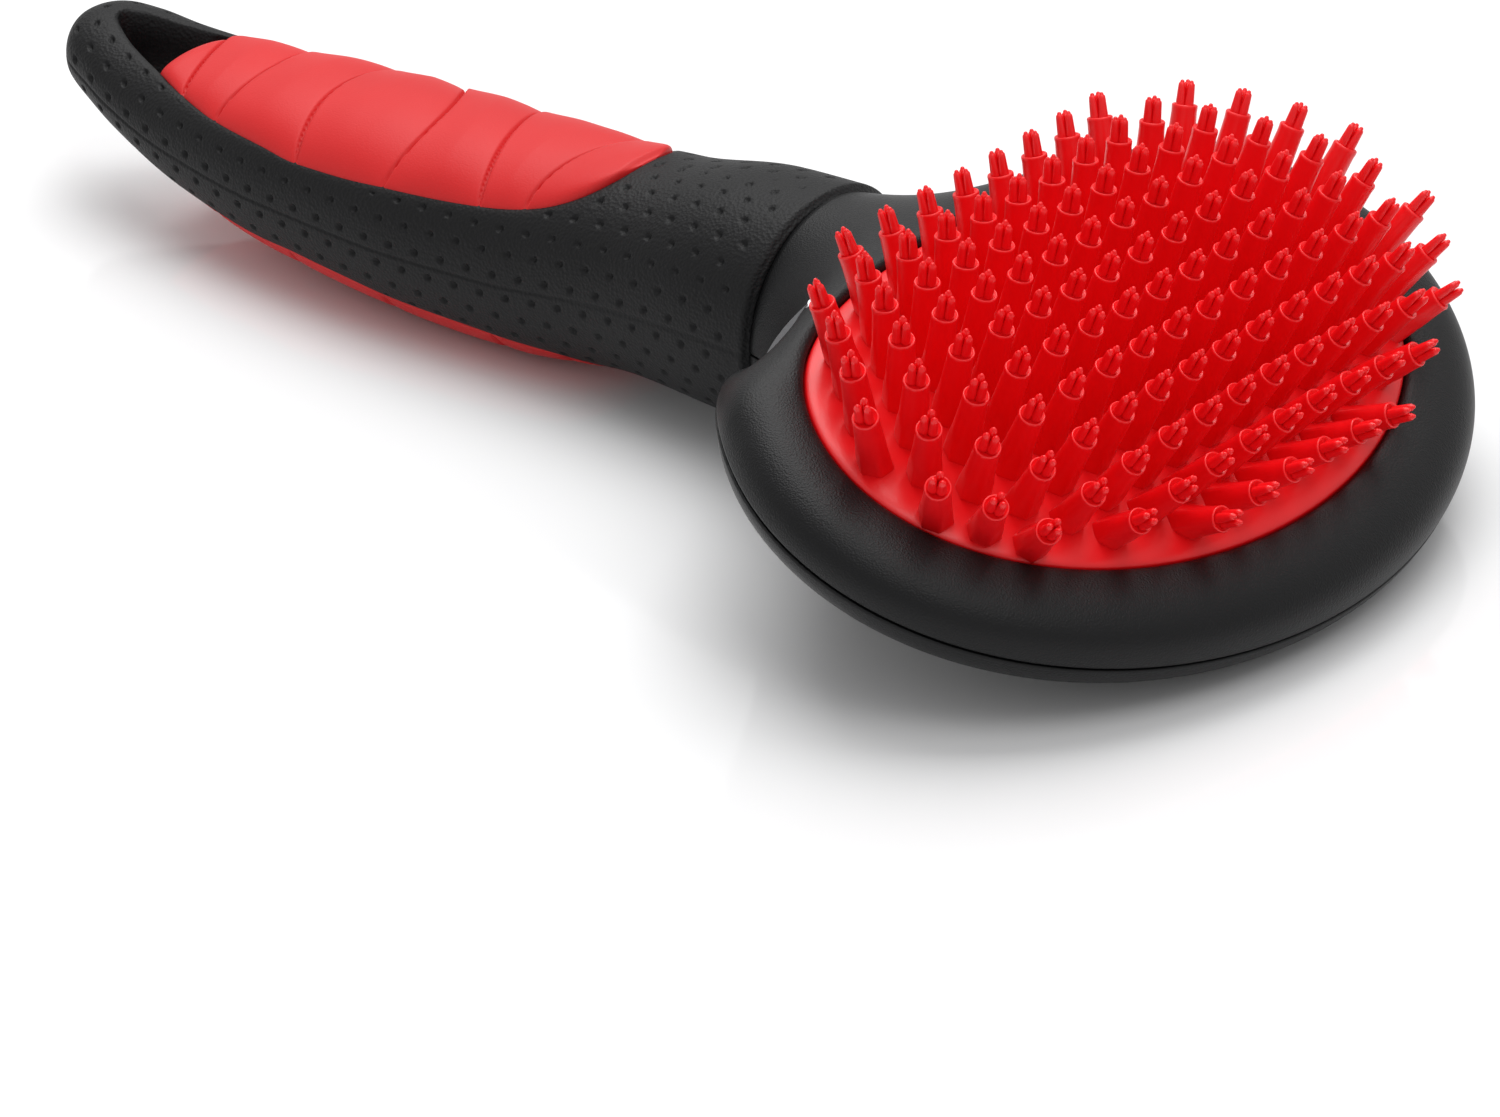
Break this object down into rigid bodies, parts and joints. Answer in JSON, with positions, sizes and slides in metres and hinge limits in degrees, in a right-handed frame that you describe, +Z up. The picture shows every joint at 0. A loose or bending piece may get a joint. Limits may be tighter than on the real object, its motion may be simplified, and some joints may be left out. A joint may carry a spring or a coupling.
{
  "type": "rubber curry brush",
  "caption": "Grooming brush with an oval head of rubber bristles, tilted on a looped soft-grip handle.",
  "frame": {"origin": "centre of the bounding box in X and Y, on the plane the brush lies on, bristles up", "axes": "+X runs along the handle towards the nose of the head, +Y across it, +Z up, the way the bristles point"},
  "size_m": [0.1999, 0.1084, 0.0448],
  "materials": {
    "shell_black": "fine-grain matte black plastic",
    "grip_black": "soft black rubber with a leather grain and small dimples",
    "grip_red": "matte red rubber with a fine grain",
    "pad_red": "satin red rubber, slightly glossy on the bristles",
    "inner_plastic": "plain moulded plastic",
    "screw_steel": "plain steel"
  },
  "bodies": {
    "root": {"head_bezel": "shell_black", "head_back_shell": "shell_black", "bristle_pad": "pad_red", "pad_plate": "inner_plastic", "plate_screws": "screw_steel", "neck_screws": "screw_steel", "tang_pin": "screw_steel", "handle_core": "inner_plastic", "handle_overmould": "grip_black", "grip_insert": "grip_red"}
  },
  "joints": []
}
